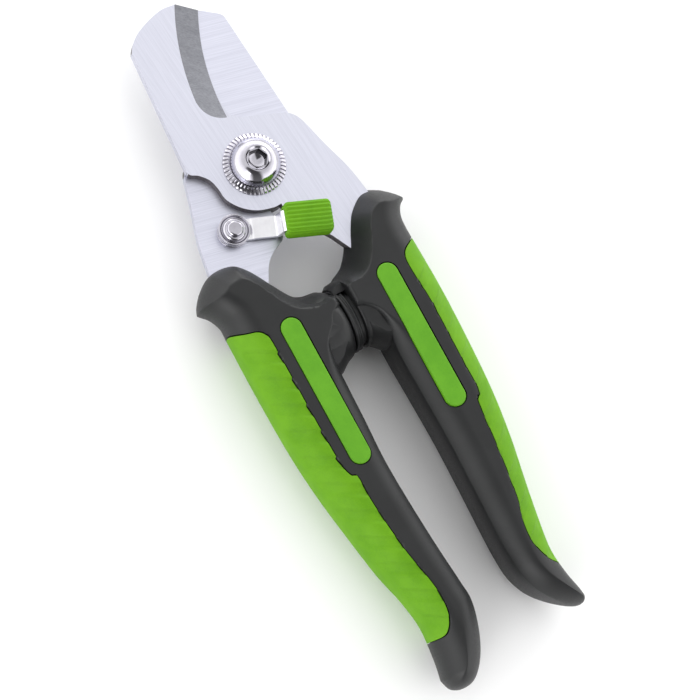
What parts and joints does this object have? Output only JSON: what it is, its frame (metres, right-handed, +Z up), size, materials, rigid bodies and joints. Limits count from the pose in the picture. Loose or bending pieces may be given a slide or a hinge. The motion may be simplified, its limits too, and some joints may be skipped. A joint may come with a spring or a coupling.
{
  "type": "pruning shears",
  "caption": "Bypass pruning shears with two crossed blades on a bolted pivot, soft-gripped handles, a spring between round cups and a thumb latch.",
  "frame": {"origin": "bottom centre of the bounding box, on the surface that the closed shears lie on", "axes": "+Y towards the blade tips, +Z up out of the pivot bolt's head, +X towards the handle that carries the front blade"},
  "size_m": [0.0668, 0.2002, 0.021],
  "materials": {
    "blade_steel": "fine-ground carbon steel, brushed",
    "polished_steel": "bright zinc and polished steel hardware",
    "charcoal_nylon": "fine-textured moulded glass-filled nylon",
    "lime_soft_grip": "satin thermoplastic rubber overmould"
  },
  "bodies": {
    "left_half": {"rear_blade": "blade_steel", "left_handle_core": "charcoal_nylon", "left_grip": "lime_soft_grip", "left_front_inlay": "lime_soft_grip", "left_back_inlay": "lime_soft_grip", "pivot_bolt": "polished_steel", "serrated_washer": "polished_steel", "back_washer": "polished_steel", "pivot_nut": "polished_steel", "latch_rivet": "polished_steel", "latch_washer": "polished_steel", "latch_dish_washer": "polished_steel", "return_spring": "blade_steel"},
    "right_half": {"front_blade": "blade_steel", "right_handle_core": "charcoal_nylon", "right_grip": "lime_soft_grip", "right_front_inlay": "lime_soft_grip", "right_back_inlay": "lime_soft_grip", "right_spring_cup": "charcoal_nylon"},
    "latch": {"latch_lever": "polished_steel", "latch_sleeve": "lime_soft_grip"}
  },
  "joints": [
    {"name": "handle_pivot", "type": "hinge", "parent": "left_half", "child": "right_half", "pos_m": [-0.00002, 0.05018, 0.0105], "axis": [0, 0, 1], "range_deg": [0, 36], "deforming": ["return_spring"]},
    {"name": "latch_pivot", "type": "hinge", "parent": "left_half", "child": "latch", "pos_m": [-0.01372, 0.03638, 0.0105], "axis": [0, 0, 1], "range_deg": [-38, 0]}
  ]
}
